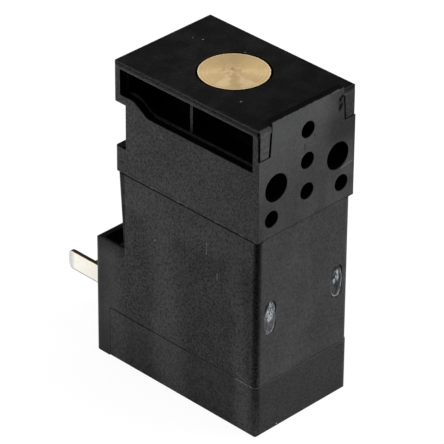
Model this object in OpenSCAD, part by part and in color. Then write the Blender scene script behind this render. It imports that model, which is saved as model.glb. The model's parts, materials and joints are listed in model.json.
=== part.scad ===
// Solenoid pilot valve of the 15 mm format. A coil block with blade terminals carries a valve
// head with three ports on its front face. The plunger axis is Z, the base stands on Z = 0,
// the port face looks along -Y and the terminals point along +Y. Lengths are in millimetres.

/* [Valve head] */
// Width of the valve head
head_w = 15; // [14.8:0.1:18]
// Depth of the valve head, from the port face to its back
head_d = 22.3; // [22:0.1:27]
// Rounding of the two upright edges at the back of the head
head_edge_r = 0.45; // [0.2:0.05:0.8]
// Thickness of the top cover
cover_t = 0.8; // [0.5:0.05:0.85]
// Rounding of the cover's upper edges
cover_edge_r = 0.3; // [0.1:0.05:0.45]
// Height of the cover's fingers, from the top of the cover
finger_h = 3.7; // [2.5:0.1:4.2]
// Width of the cover's fingers at the top
finger_w = 1.5; // [1.2:0.05:1.8]
// Thickness of the cover's fingers
finger_t = 0.55; // [0.4:0.05:0.7]

/* [Ports and fixing holes] */
// Diameter of the three ports
port_d = 2.05; // [1.6:0.05:2.2]
// Spacing of the three ports
port_pitch = 3.84; // [3.6:0.02:4.4]
// Height of the lower port above the underside of the head
port_rise = 3.55; // [3.4:0.05:4]
// Depth of the upper port below the top of the cover
port_drop = 2.67; // [2.65:0.01:4]
// Diameter of the two screw holes
screw_d = 3.4; // [3:0.1:3.6]
// Spacing of the two screw holes
screw_pitch = 9.58; // [9.4:0.02:10.2]
// Height of the screw holes above the underside of the head
screw_rise = 5.98; // [5.8:0.01:6.4]
// Diameter of the two locating holes
pin_d = 2.05; // [1.5:0.05:2.4]
// Spacing of the two locating holes
pin_pitch = 10.9; // [10.6:0.1:11.4]
// Height of the locating holes above the underside of the head
pin_rise = 2.3; // [1.9:0.05:2.5]
// Depth of the locating holes
pin_depth = 3.5; // [2:0.1:5]
// Height of the notch across the back that takes the screw heads
notch_h = 5.7; // [5.2:0.1:6.2]
// Depth of the notch across the back
notch_depth = 1.9; // [1.2:0.05:2.6]

/* [Side pockets] */
// Depth of the pockets in the sides of the head
pocket_depth = 3.6; // [2.5:0.1:3.8]
// Depth of the outer step of each pocket
pocket_step = 1; // [0.5:0.05:1.4]
// Width of the ledge round the inside of that step
pocket_ledge = 0.3; // [0.15:0.05:0.6]
// Wall between the pockets and the port face
front_wall = 0.92; // [0.9:0.02:1.6]
// Wall between the pockets and the back of the head
back_wall = 1.05; // [0.8:0.05:1.6]
// Length of the ramp that lifts the pocket's floor over the notch
ramp_len = 3.15; // [2:0.05:5]
// Thickness of the rib in the middle of each pocket
rib_t = 0.4; // [0.3:0.01:1.2]

/* [Valve] */
// Diameter of the seat plug in the top of the head
plug_d = 8; // [7.6:0.05:8.4]
// Wall of the boss round the seat plug
boss_wall = 0.9; // [0.6:0.05:1.2]
// Diameter of the inlet orifice in the seat plug
orifice_d = 1; // [0.6:0.05:1.2]
// Diameter of the plunger's stem
stem_d = 2; // [1.6:0.05:2.2]
// Stroke of the plunger
stroke = 0.6; // [0.3:0.05:0.9]

/* [Coil block] */
// Height of the coil block, from the base to the head
coil_h = 25.55; // [23:0.05:32]
// How far the coil block stands in from the head, at the sides and the front
coil_set_in = 0.15; // [0.1:0.01:0.4]
// How far the coil block's back stands in from the head's back, under the head
coil_back_step = 0.2; // [0.1:0.05:1.2]
// Lean of the coil block's back wall, in degrees
coil_lean = 4; // [0:0.5:6]
// Rounding of the coil block's upright edges
coil_edge_r = 0.75; // [0.3:0.05:0.9]
// Height of the base cap
cap_h = 6.6; // [6:0.1:7.4]
// Thickness of the base cap's floor
cap_floor = 1.2; // [0.8:0.05:1.6]
// Thickness of the casing's roof under the head
roof_t = 1.4; // [1:0.05:2]
// Spacing of the two gate marks on the casing's front
gate_pitch = 10.55; // [9:0.05:11]
// Height of the gate marks above the base
gate_rise = 15.1; // [12:0.1:18]

/* [Connector] */
// How far the connector block reaches behind the head
conn_reach = 3.5; // [2.5:0.05:5]
// Height of the connector block
conn_h = 15.3; // [14:0.1:17]
// Thickness of the connector block below the top of the base cap
conn_skirt_t = 2.35; // [1.6:0.05:2.4]
// Wall behind the connector block's upper pocket
conn_rim_t = 1.1; // [0.7:0.05:1.4]
// Depth of the connector block's upper pocket
conn_pocket_depth = 2; // [1:0.1:3]
// Spacing of the two contact blades
blade_pitch = 8; // [7.4:0.1:9.4]
// Width of the blades
blade_w = 2.4; // [2:0.1:2.6]
// Thickness of the blades
blade_t = 0.5; // [0.45:0.05:0.8]
// Length of the blades outside the connector block
blade_len = 7.8; // [5:0.05:10]
// Height of the contact blades above the base
blade_rise = 7.3; // [7.2:0.05:8]
// How far the earth blade lies below the contact blades
earth_drop = 2.45; // [2.4:0.05:2.6]
// Diameter of the threaded insert for the plug's screw
insert_d = 3.6; // [3.2:0.1:3.8]
// Length of the threaded insert
insert_len = 4; // [3:0.1:4.6]
// Diameter of the insert's thread at its crests
insert_bore = 2.5; // [2:0.05:2.6]

/* [Solenoid] */
// Bore of the guide tube
tube_bore = 6; // [5.4:0.1:6.4]
// Wall of the guide tube
tube_wall = 0.3; // [0.2:0.05:0.4]
// Diameter of the finished winding
winding_d = 11.6; // [10.6:0.1:12]
// Wall of the bobbin's barrel
barrel_wall = 0.6; // [0.4:0.05:0.9]
// Thickness of the bobbin's flanges
flange_t = 0.8; // [0.5:0.05:1.2]
// Thickness of the yoke and the pole plate
yoke_t = 1.5; // [1:0.1:1.8]
// Length of the fixed core inside the guide tube
core_len = 8.8; // [6:0.1:10.5]
// Depth of the spring's bore in the plunger
spring_bore_depth = 6; // [4:0.1:8]

/* [Hidden] */
$fn = 64;

// Clearances
fit_gap = 0.05;
press_gap = 0.02;
slide_gap = 0.05;
seal_gap = 0.02;
over = 1;

// Levels of the head
head_z = coil_h;
lower_port_z = head_z + port_rise;
middle_port_z = lower_port_z + port_pitch;
upper_port_z = middle_port_z + port_pitch;
head_top = upper_port_z + port_drop;
cover_z = head_top - cover_t;
finger_z = head_top - finger_h;
screw_z = head_z + screw_rise;
pin_z = head_z + pin_rise;
front_y = -head_d / 2;
back_y = head_d / 2;
side_x = head_w / 2;
front_edge_r = 0.05;
cover_front_r = 0.3;
crest_proud = 0.35;
crest_edge_r = 0.08;
lip_set_in = 0.18;

// Cover fingers in the corners of the port face
finger_side = 0.22;
finger_wall = 0.16;
finger_relief = 0.2;
finger_set_in = 0.05;
finger_gap = 0.12;
finger_side_gap = 0.26;
finger_taper = 0.22;
finger_out_x = side_x - finger_side;
finger_in_x = finger_out_x - finger_w;
crest_x = finger_in_x - finger_side_gap;
barb_t = 0.12;
barb_h = 0.5;
peg_d = 1.2;
peg_h = 2;
peg_pitch = 5.2;
peg_y = back_y - back_wall - peg_d;

// Notch and pockets
notch_z = screw_z - notch_h / 2;
notch_y = back_y - notch_depth;
pocket_web = 0.8;
notch_web = 1;
ramp_web = 0.77;
pocket_z = screw_z + screw_d / 2 + pocket_web;
pocket_back_z = notch_z + notch_h + notch_web;
ramp_y = notch_y - ramp_web - ramp_len;
ramp_steps = 14;

// Chambers on the plunger axis
chamber_wall = 0.63;
chamber_r = screw_pitch / 2 - screw_d / 2 - chamber_wall;
port_margin = 0.12;
seat_web = 0.6;
seat_lip_h = 0.38;
seat_lip_w = 0.4;
seat_gap = 0.4;
exhaust_top = lower_port_z + port_d / 2 + port_margin;
chamber_z = exhaust_top + seat_web;
seat_z = chamber_z + seat_lip_h;
seat_r = stem_d / 2 + seat_gap;
shoulder_z = middle_port_z + port_d / 2 + port_margin;

// Seat plug with its two seal grooves and its inlet groove
plug_r = plug_d / 2;
plug_bore_r = plug_r + press_gap;
plug_drop = 0.02;
cover_hole_gap = 0.3;
boss_r = plug_bore_r + boss_wall;
nozzle_h = 0.6;
nozzle_wall = 0.6;
nozzle_r = orifice_d / 2 + nozzle_wall;
nozzle_z = shoulder_z - nozzle_h;
inlet_groove_h = 1.3;
inlet_groove_depth = 0.9;
plug_land = 0.24;
plug_ring_d = 0.8;
plug_groove_h = plug_ring_d + fit_gap;
plug_groove_depth = plug_ring_d + press_gap;
cross_d = 1.2;
plug_ring_r = plug_bore_r - press_gap - plug_ring_d / 2;
plug_ring_rise = inlet_groove_h / 2 + plug_land + plug_groove_h / 2;

// Guide tube and its seat under the head
tube_r = tube_bore / 2 + tube_wall;
tube_flange_w = 1.3;
tube_flange_t = 0.5;
tube_flange_r = tube_r + tube_flange_w;
ring_d = 0.85;
ring_set_out = 0.35;
ring_r = tube_r + ring_set_out;
ring_z = lower_port_z - port_d / 2 - fit_gap - ring_d;
nut_h = ring_z - tube_flange_t - head_z;
nut_w = 0.7;
nut_r = tube_flange_r + nut_w;
nut_slot_w = 1.2;
nut_slot_depth = 0.5;

// Levels of the coil
clip_room = 1;
roof_gap = 0.1;
yoke_z = cap_floor + clip_room;
core_z = yoke_z + yoke_t;
pole_top = coil_h - roof_t - roof_gap;
pole_z = pole_top - yoke_t;
core_top = core_z + core_len;

// Bobbin, winding and yoke, from the tube outwards
bobbin_bore_gap = 0.12;
barrel_r = tube_r + bobbin_bore_gap + barrel_wall;
winding_r = winding_d / 2;
tape_t = 0.15;
tape_r = winding_r + press_gap + tape_t;
flange_over = 0.25;
bobbin_r = tape_r + flange_over;
yoke_gap = 0.2;
yoke_y = bobbin_r + yoke_gap;
yoke_bend_r = 0.15;
blade_clear = 0.15;
yoke_w = blade_pitch - blade_t - 2 * blade_clear;
pole_w = 10;
pole_edge_r = 1;

// Coil casing and base cap
coil_x = side_x - coil_set_in;
coil_front_y = front_y + coil_set_in;
coil_back_y = back_y - coil_back_step;
conn_back_y = back_y + conn_reach;
conn_wall_y = coil_back_y - (coil_h - conn_h - over) * tan(coil_lean) + fit_gap;
skirt_y = conn_back_y - conn_skirt_t;
skirt_gap = 0.05;
cap_back_y = skirt_y - skirt_gap;
conn_edge_r = 0.7;
conn_top_r = 0.6;
conn_foot_r = 0.1;
conn_side_t = 0.55;
conn_pocket_r = 0.3;
seam = 0.1;
shadow_h = 0.3;
shadow_d = 0.3;
cap_set_out = 0.06;
cap_x = coil_x + cap_set_out;
cap_front_y = coil_front_y - cap_set_out;
cap_seam = 0.06;
cap_edge_r = 0.3;
cap_back_r = 0.2;
cavity_gap = 0.15;
cavity_x = bobbin_r + cavity_gap;
cavity_y = yoke_y + yoke_t + cavity_gap;
cavity_r = 0.5;
post_x = 1.4;
post_y = 1.9;
post_h = 1.2;
rest_y = 1.5;
gate_w = 1.8;
gate_h = 4.2;
gate_depth = 0.2;
insert_z = blade_rise;
insert_relief = 0.6;
insert_lip = 0.3;

// Blades
tip_y = conn_back_y + blade_len;
blade_x = blade_pitch / 2;
blade_tip_r = 0.6;
blade_tip_t = 0.3;
blade_tip_len = 0.9;
root_cover = 0.6;
root_y = skirt_y + root_cover;
tail_reach = 0.85;
tail_y = cavity_y - tail_reach;
tail_h = 1.6;
tail_rise = 0.6;
tail_z = cap_h + tail_rise;
earth_rise = blade_rise - earth_drop;
lead_d = 0.45;
lead_y = sqrt(pow(tape_r, 2) - pow(blade_x - lead_d / 2, 2)) + press_gap;

// Core, clip, plunger and spring
core_r = tube_bore / 2 - press_gap;
stub_r = 1.8;
stub_gap = 0.2;
stub_z = cap_floor + stub_gap;
clip_t = 0.4;
clip_r = 3.1;
clip_groove_r = 1.35;
clip_z = yoke_z - clip_t - press_gap;
plunger_r = tube_bore / 2 - slide_gap;
stop_gap = 0.05;
plunger_z = core_top + stroke + stop_gap;
plunger_proud = 0.2;
plunger_top = ring_z + plunger_proud;
vent_depth = 0.35;
vent_w = 1.6;
spring_r = 1.5;
spring_wire = 0.36;
spring_gap = 0.2;
spring_bore_r = spring_r + spring_gap;
spring_seat_depth = 1.2;
spring_z = core_top - spring_seat_depth + press_gap;
spring_top = plunger_z + spring_bore_depth - press_gap;
spring_turns = 8;
spring_steps = 16;
spring_sides = 6;
spring_closed_pitch = 1.15 * spring_wire;

// Poppet and its seals
poppet_gap = 0.4;
poppet_r = chamber_r - poppet_gap;
poppet_top = nozzle_z - seal_gap;
poppet_z = seat_z + stroke + seal_gap;
seal_proud = 0.08;
seal_over = 0.1;
upper_seal_r = nozzle_r + 4 * seal_over;
upper_seal_h = 0.55;
lower_seal_r = seat_r + seat_lip_w + seal_over;
lower_seal_bore_r = seat_r - seal_over;
lower_seal_h = 0.4;
stem_web = 0.12;
stem_top = poppet_top - upper_seal_h - stem_web;

// The sliver outside a round corner that lies at the origin, with the body towards +X and +Y
module corner_cut(r) {
  if (r > 0) {
    difference() {
      translate([-over, -over])
        square(r + over);
      translate([r, r])
        circle(r);
      translate([r, -2 * over])
        square([2 * over, r + 2 * over]);
    }
  }
}

// Rectangle with round corners of one radius along its low edge and one along its high edge
module round_rect(x0, x1, y0, y1, low_r, high_r) {
  difference() {
    translate([x0, y0])
      square([x1 - x0, y1 - y0]);
    for (side = [0, 1]) {
      x = side == 0 ? x0 : x1;
      translate([x, y0])
        mirror([side, 0])
          corner_cut(low_r);
      translate([x, y1])
        mirror([side, 0])
          mirror([0, 1])
            corner_cut(high_r);
    }
  }
}

// Rectangle between two corners, for the outlines that are turned about an axis
module ring_section(r0, r1, z0, z1) {
  translate([r0, z0])
    square([r1 - r0, z1 - z0]);
}

// Outline in Y and Z, drawn out along X
module along_x(x0, x1) {
  translate([x0, 0, 0])
    rotate([90, 0, 90])
      linear_extrude(x1 - x0)
        children();
}

// Outline in X and Z, drawn out along Y
module along_y(y0, y1) {
  translate([0, y1, 0])
    rotate([90, 0, 0])
      linear_extrude(y1 - y0)
        children();
}

// Outline in X and Y, drawn out along Z
module along_z(z0, z1) {
  translate([0, 0, z0])
    linear_extrude(z1 - z0)
      children();
}

// Round hole along Y
module hole_y(x, z, r, y0, y1) {
  translate([x, y0, z])
    rotate([-90, 0, 0])
      cylinder(r = r, h = y1 - y0);
}

module both_sides() {
  children();
  mirror([1, 0, 0])
    children();
}

module four_corners() {
  both_sides() {
    children();
    mirror([0, 1, 0])
      children();
  }
}

function ramp_height(u) = u * u * (3 - 2 * u);

// Outline of a side pocket in Y and Z, its floor lifted by an S-shaped ramp at the back
module pocket_outline(inset) {
  y0 = front_y + front_wall + inset;
  y1 = back_y - back_wall - inset;
  ramp = [
    for (i = [0 : ramp_steps])
      let (u = i / ramp_steps)
        [ramp_y + u * ramp_len,
         pocket_z + inset + (pocket_back_z - pocket_z) * ramp_height(u)]
  ];
  polygon(concat(
    [[y0, pocket_z + inset]],
    ramp,
    [[y1, pocket_back_z + inset], [y1, head_top + over], [y0, head_top + over]]
  ));
}

module side_pocket() {
  along_x(side_x - pocket_step, side_x + over)
    pocket_outline(0);
  along_x(side_x - pocket_depth, side_x - pocket_step + seam)
    difference() {
      pocket_outline(pocket_ledge);
      translate([-rib_t / 2, pocket_z - over])
        square([rib_t, head_top - pocket_z + 3 * over]);
    }
}

// Outline of a finger in X and Z out to a given edge: its inner edge tapers towards the tip
module finger_outline(side_gap, end_gap, out_x, top_z) {
  polygon([
    [out_x, finger_z - end_gap],
    [out_x, top_z],
    [finger_in_x - side_gap, top_z],
    [finger_in_x - side_gap, cover_z],
    [finger_in_x + finger_taper - side_gap, finger_z - end_gap]
  ]);
}

// Recess for a finger, with its thin outer wall set back from the port face
module finger_recess() {
  depth = finger_t + fit_gap;
  out_x = side_x - finger_wall;
  barb_x = finger_in_x + finger_taper - finger_side_gap;
  along_y(front_y - over, front_y + depth)
    finger_outline(finger_side_gap, finger_gap, out_x, head_top + over);
  translate([barb_x, front_y - over, finger_z - finger_gap])
    cube([out_x - barb_x, over + depth + barb_t, barb_h + 2 * finger_gap]);
  translate([finger_out_x, front_y - over, finger_z - finger_gap])
    cube([finger_side + over, over + finger_relief, finger_h + over]);
}

// The bores on the plunger axis, from the tube's seat up to the seat plug
module head_bores() {
  rotate_extrude() {
    ring_section(0, nut_r + fit_gap, head_z - over, head_z + nut_h);
    ring_section(0, tube_flange_r + fit_gap, head_z, ring_z);
    ring_section(0, ring_r + ring_d / 2 + press_gap, head_z, ring_z + ring_d);
    ring_section(0, chamber_r, head_z, exhaust_top);
    ring_section(0, seat_r, exhaust_top - fit_gap, seat_z + fit_gap);
    ring_section(seat_r + seat_lip_w, chamber_r, chamber_z, seat_z + fit_gap);
    ring_section(0, chamber_r, seat_z, shoulder_z + fit_gap);
    ring_section(0, plug_bore_r, shoulder_z, head_top + over);
  }
}

// Head with its lip under the notch and the crest that shows between the cover's fingers
module head_block() {
  along_z(head_z, notch_z + seam)
    round_rect(-side_x, side_x, front_y, back_y - lip_set_in, front_edge_r, head_edge_r);
  along_z(notch_z, cover_z)
    round_rect(-side_x, side_x, front_y, back_y, front_edge_r, head_edge_r);
  along_x(-crest_x, crest_x)
    difference() {
      translate([front_y, cover_z - seam])
        square([front_wall, cover_t + crest_proud + seam]);
      translate([front_y, head_top + crest_proud])
        mirror([0, 1])
          corner_cut(crest_edge_r);
    }
}

module valve_body() {
  color("#3a3a3c")
    difference() {
      union() {
        difference() {
          head_block();
          both_sides()
            side_pocket();
        }
        along_z(pocket_z - seam, cover_z)
          circle(boss_r);
      }
      head_bores();
      translate([-side_x - over, notch_y, notch_z])
        cube([head_w + 2 * over, notch_depth + over, notch_h]);
      both_sides() {
        finger_recess();
        hole_y(screw_pitch / 2, screw_z, screw_d / 2, front_y - over, back_y + over);
        hole_y(pin_pitch / 2, pin_z, pin_d / 2, front_y - over, front_y + pin_depth);
        translate([peg_pitch / 2, peg_y, cover_z - peg_h - fit_gap])
          cylinder(d = peg_d + 2 * press_gap, h = peg_h + over);
      }
      for (z = [lower_port_z, middle_port_z, upper_port_z])
        hole_y(0, z, port_d / 2, front_y - over, 0);
    }
}

module cover_plate() {
  plate_y = front_y + finger_set_in;
  intersection() {
    along_z(cover_z, head_top)
      round_rect(-side_x, side_x, plate_y, back_y, cover_front_r, head_edge_r);
    along_x(-side_x - over, side_x + over)
      round_rect(plate_y, back_y, cover_z - over, head_top, 0, cover_edge_r);
    along_y(front_y - over, back_y + over)
      round_rect(-side_x, side_x, cover_z - over, head_top, 0, cover_edge_r);
  }
}

module top_cover() {
  color("#1c1c1e")
    difference() {
      union() {
        cover_plate();
        both_sides() {
          along_y(front_y + finger_set_in, front_y + finger_t)
            finger_outline(0, 0, finger_out_x, cover_z + seam);
          translate([finger_in_x + finger_taper, front_y + finger_t - seam, finger_z])
            cube([finger_w - finger_taper, barb_t + seam, barb_h]);
          translate([peg_pitch / 2, peg_y, cover_z - peg_h])
            cylinder(d = peg_d, h = peg_h + seam);
        }
      }
      translate([0, 0, cover_z - over])
        cylinder(r = plug_r + cover_hole_gap, h = cover_t + 2 * over);
      translate([-crest_x - fit_gap, front_y - over, cover_z - over])
        cube([2 * (crest_x + fit_gap), over + front_wall + fit_gap, cover_t + 2 * over]);
    }
}

module seat_plug() {
  color("#d2b078")
    difference() {
      rotate_extrude() {
        difference() {
          union() {
            ring_section(0, plug_r, shoulder_z, head_top - plug_drop);
            ring_section(0, nozzle_r, nozzle_z, shoulder_z + seam);
          }
          ring_section(0, orifice_d / 2, nozzle_z - over, upper_port_z);
          ring_section(plug_r - inlet_groove_depth, plug_r + over,
                       upper_port_z - inlet_groove_h / 2, upper_port_z + inlet_groove_h / 2);
          for (side = [-1, 1])
            let (z = upper_port_z + side * plug_ring_rise)
              ring_section(plug_r - plug_groove_depth, plug_r + over,
                           z - plug_groove_h / 2, z + plug_groove_h / 2);
        }
      }
      translate([-plug_d, 0, upper_port_z])
        rotate([0, 90, 0])
          cylinder(d = cross_d, h = 2 * plug_d);
    }
}

// Round seal ring about the plunger axis
module o_ring(mean_r, section_d, z) {
  translate([0, 0, z])
    rotate_extrude()
      translate([mean_r, 0])
        circle(d = section_d);
}

module plug_o_rings() {
  color("#202020")
    for (side = [-1, 1])
      o_ring(plug_ring_r, plug_ring_d, upper_port_z + side * plug_ring_rise);
}

module connector_block() {
  intersection() {
    along_z(0, conn_h)
      round_rect(-coil_x, coil_x, front_y, conn_back_y, 0, conn_edge_r);
    along_y(front_y, conn_back_y)
      round_rect(-coil_x, coil_x, 0, conn_h, 0, conn_top_r);
    along_x(-coil_x, coil_x) {
      round_rect(cavity_y - seam, conn_back_y, cap_h, conn_h, 0, conn_top_r);
      round_rect(skirt_y, conn_back_y, 0, cap_h + over, conn_foot_r, 0);
    }
  }
}

// Oval gate mark on the casing's front face
module gate_mark() {
  along_y(coil_front_y - over, coil_front_y + gate_depth)
    translate([gate_pitch / 2, gate_rise]) {
      square([gate_w, gate_h - gate_w], center = true);
      for (side = [-1, 1])
        translate([0, side * (gate_h - gate_w) / 2])
          circle(d = gate_w);
    }
}

// Contact blade at X = 0, with all its faces moved out by the gap
module contact_form(gap) {
  intersection() {
    along_x(-blade_t, blade_t) {
      translate([root_y - gap, blade_rise - blade_w / 2 - gap])
        square([tip_y - root_y, blade_w + 2 * gap] - [blade_tip_len, 0]);
      round_rect(tip_y - 2 * blade_tip_len, tip_y, blade_rise - blade_w / 2 - gap,
                 blade_rise + blade_w / 2 + gap, blade_tip_r, blade_tip_r);
      translate([tail_y - gap, tail_z - gap])
        square([root_y - tail_y + 2 * gap, tail_h + 2 * gap]);
    }
    along_z(0, conn_h)
      blade_plan(blade_t + 2 * gap, tail_y - over);
  }
}

// Plan of a blade: straight sides that taper to a thinner tip
module blade_plan(thickness, start_y) {
  polygon([
    [-thickness / 2, start_y],
    [-thickness / 2, tip_y - blade_tip_len],
    [-blade_tip_t / 2, tip_y],
    [blade_tip_t / 2, tip_y],
    [thickness / 2, tip_y - blade_tip_len],
    [thickness / 2, start_y]
  ]);
}

// Earth blade, a flat strip from the yoke to its tapered tip
module earth_form(gap) {
  start_y = yoke_y + yoke_t;
  intersection() {
    along_z(earth_rise - blade_t / 2 - gap, earth_rise + blade_t / 2 + gap)
      round_rect(-blade_w / 2 - gap, blade_w / 2 + gap, start_y, tip_y, 0, blade_tip_r);
    along_x(-blade_w, blade_w)
      translate([0, earth_rise])
        rotate(-90)
          blade_plan(blade_t + 2 * gap, start_y - over);
  }
}

// Outer form of the coil block, its back wall leaning in towards the base, with a shadow groove
// along both sides under the head
module coil_block() {
  intersection() {
    union() {
      along_z(cap_h, coil_h - shadow_h)
        round_rect(-coil_x, coil_x, coil_front_y, back_y, coil_edge_r, 0);
      along_z(coil_h - shadow_h - seam, coil_h)
        round_rect(-coil_x + shadow_d, coil_x - shadow_d, coil_front_y, back_y, coil_edge_r, 0);
    }
    translate([0, coil_back_y, coil_h])
      rotate([-coil_lean, 0, 0])
        along_z(-coil_h, over)
          round_rect(-coil_x, coil_x, -2 * head_d, 0, 0, coil_edge_r);
  }
}

module coil_casing() {
  color("#343436")
    difference() {
      union() {
        coil_block();
        connector_block();
      }
      along_z(cap_h - over, coil_h - roof_t)
        round_rect(-cavity_x, cavity_x, -cavity_y, cavity_y, cavity_r, cavity_r);
      along_z(coil_h - roof_t - over, coil_h + over)
        circle(tube_r + bobbin_bore_gap);
      along_z(conn_h - conn_pocket_depth, conn_h + over)
        round_rect(-coil_x + conn_side_t, coil_x - conn_side_t, conn_wall_y,
                   conn_back_y - conn_rim_t, 0, conn_pocket_r);
      both_sides() {
        gate_mark();
        translate([blade_x, 0, 0])
          contact_form(press_gap);
      }
      earth_form(press_gap);
      hole_y(0, insert_z, insert_d / 2 + press_gap, conn_back_y - insert_len, conn_back_y + over);
      hole_y(0, insert_z, insert_bore / 2 + insert_lip,
             conn_back_y - insert_len - insert_relief, conn_back_y);
    }
}

// Four posts in the corners of the cap that locate it in the casing
module cap_posts() {
  intersection() {
    along_z(cap_floor - over, cap_h + post_h)
      round_rect(-cavity_x + fit_gap, cavity_x - fit_gap, -cavity_y + fit_gap, cavity_y - fit_gap,
                 cavity_r, cavity_r);
    four_corners()
      translate([cavity_x - post_x, cavity_y - post_y, 0])
        cube([post_x, post_y, cap_h + post_h]);
  }
}

module base_cap() {
  slot_x = blade_w / 2 + fit_gap;
  color("#303032")
    difference() {
      union() {
        intersection() {
          along_z(0, cap_h - cap_seam)
            round_rect(-cap_x, cap_x, cap_front_y, cap_back_y, coil_edge_r, cap_back_r);
          along_x(-cap_x, cap_x)
            round_rect(cap_front_y, cap_back_y, 0, cap_h, cap_edge_r, 0);
          along_y(cap_front_y, cap_back_y)
            round_rect(-cap_x, cap_x, 0, cap_h, cap_edge_r, 0);
        }
        along_z(cap_floor, cap_h)
          round_rect(-coil_x + seam, coil_x - seam, coil_front_y + seam, cap_back_y - seam,
                     coil_edge_r, cap_back_r);
        cap_posts();
      }
      difference() {
        along_z(cap_floor, cap_h + over)
          round_rect(-cavity_x, cavity_x, -cavity_y, cavity_y, cavity_r, cavity_r);
        four_corners()
          translate([0, yoke_y - yoke_bend_r - rest_y, cap_floor - over])
            cube([yoke_w / 2, rest_y, clip_room + over]);
        cap_posts();
      }
      translate([-slot_x, 0, earth_rise - blade_t / 2 - fit_gap])
        cube([2 * slot_x, cap_back_y + over, cap_h]);
      hole_y(0, insert_z, insert_d / 2 + fit_gap, conn_back_y - insert_len - insert_relief,
             cap_back_y + over);
    }
}

module plug_insert() {
  color("#c9a25a")
    difference() {
      hole_y(0, insert_z, insert_d / 2, conn_back_y - insert_len, conn_back_y);
      hole_y(0, insert_z, insert_bore / 2, conn_back_y - insert_len - over, conn_back_y + over);
    }
}

module contact_blade(x) {
  color("#cfc8b4")
    translate([x, 0, 0])
      contact_form(0);
}

module left_terminal_blade() {
  contact_blade(-blade_x);
}

module right_terminal_blade() {
  contact_blade(blade_x);
}

module earth_blade() {
  color("#cfc8b4")
    earth_form(0);
}

module coil_leads() {
  color("#b8693a")
    both_sides()
      hole_y(blade_x, tail_z + tail_h / 2, lead_d / 2, lead_y, tail_y);
}

module bobbin() {
  color("#e4dfd0")
    rotate_extrude() {
      ring_section(tube_r + bobbin_bore_gap, barrel_r, core_z, pole_z);
      ring_section(tube_r + bobbin_bore_gap, bobbin_r, core_z, core_z + flange_t);
      ring_section(tube_r + bobbin_bore_gap, bobbin_r, pole_z - flange_t, pole_z);
    }
}

module winding() {
  color("#b8693a")
    rotate_extrude()
      ring_section(barrel_r + press_gap, winding_r, core_z + flange_t + press_gap,
                   pole_z - flange_t - press_gap);
}

module winding_tape() {
  color("#c9b23c")
    rotate_extrude()
      ring_section(winding_r + press_gap, tape_r, core_z + flange_t + press_gap,
                   pole_z - flange_t - press_gap);
}

// Steel strip bent to a U round the bobbin
module yoke() {
  outer_y = yoke_y + yoke_t;
  color("#9a9ca0")
    difference() {
      along_x(-yoke_w / 2, yoke_w / 2)
        difference() {
          round_rect(-outer_y, outer_y, yoke_z, pole_top, yoke_bend_r + yoke_t, 0);
          round_rect(-yoke_y, yoke_y, core_z, pole_top + over, yoke_bend_r, 0);
        }
      translate([0, 0, yoke_z - over])
        cylinder(r = stub_r + fit_gap, h = yoke_t + 2 * over);
    }
}

module pole_plate() {
  color("#9a9ca0")
    along_z(pole_z, pole_top)
      difference() {
        round_rect(-pole_w / 2, pole_w / 2, -yoke_y + press_gap, yoke_y - press_gap,
                   pole_edge_r, pole_edge_r);
        circle(tube_r + fit_gap);
      }
}

module guide_tube() {
  color("#b9bcc0")
    rotate_extrude() {
      ring_section(tube_bore / 2, tube_r, core_z + press_gap, ring_z);
      ring_section(tube_bore / 2, tube_flange_r, ring_z - tube_flange_t, ring_z);
    }
}

module tube_nut() {
  color("#c9a25a")
    difference() {
      rotate_extrude()
        ring_section(tube_r + fit_gap, nut_r, head_z, head_z + nut_h);
      translate([-nut_slot_w / 2, -nut_r - over, head_z - over])
        cube([nut_slot_w, 2 * (nut_r + over), nut_slot_depth + over]);
    }
}

module tube_o_ring() {
  color("#202020")
    o_ring(ring_r, ring_d, ring_z + ring_d / 2);
}

module fixed_core() {
  color("#a4a7ab")
    rotate_extrude()
      difference() {
        union() {
          ring_section(0, core_r, core_z, core_top);
          ring_section(0, stub_r, stub_z, core_z + seam);
        }
        ring_section(0, spring_bore_r, core_top - spring_seat_depth, core_top + over);
        ring_section(clip_groove_r, stub_r + over, clip_z - press_gap, clip_z + clip_t + press_gap);
      }
}

// Open clip with an opening to one side and two relief bites
module core_clip() {
  color("#8d9095")
    along_z(clip_z, clip_z + clip_t)
      difference() {
        circle(clip_r);
        circle(clip_groove_r + press_gap);
        translate([0, -clip_groove_r])
          square([2 * clip_r, 2 * clip_groove_r]);
        for (side = [-1, 1])
          rotate(side * 120)
            translate([clip_groove_r + stub_r / 4, 0])
              circle(stub_r / 3);
      }
}

module plunger() {
  color("#a4a7ab")
    difference() {
      rotate_extrude()
        difference() {
          union() {
            ring_section(0, plunger_r, plunger_z, plunger_top);
            ring_section(0, stem_d / 2, plunger_top - seam, stem_top);
          }
          ring_section(0, spring_bore_r, plunger_z - over, plunger_z + spring_bore_depth);
        }
      both_sides()
        translate([plunger_r - vent_depth, -vent_w / 2, plunger_z - over])
          cube([over, vent_w, plunger_top - plunger_z + 2 * over]);
    }
}

module poppet() {
  color("#c9a25a")
    rotate_extrude()
      difference() {
        ring_section(0, poppet_r, poppet_z + seal_proud, poppet_top - seal_proud);
        ring_section(0, stem_d / 2 + press_gap, poppet_z, stem_top + press_gap);
        ring_section(0, upper_seal_r + press_gap, poppet_top - upper_seal_h - press_gap, poppet_top);
        ring_section(lower_seal_bore_r - press_gap, lower_seal_r + press_gap, poppet_z,
                     poppet_z + lower_seal_h + press_gap);
      }
}

module upper_seal() {
  color("#7a2f24")
    rotate_extrude()
      ring_section(0, upper_seal_r, poppet_top - upper_seal_h, poppet_top);
}

module lower_seal() {
  color("#7a2f24")
    rotate_extrude()
      ring_section(lower_seal_bore_r, lower_seal_r, poppet_z, poppet_z + lower_seal_h);
}

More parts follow.
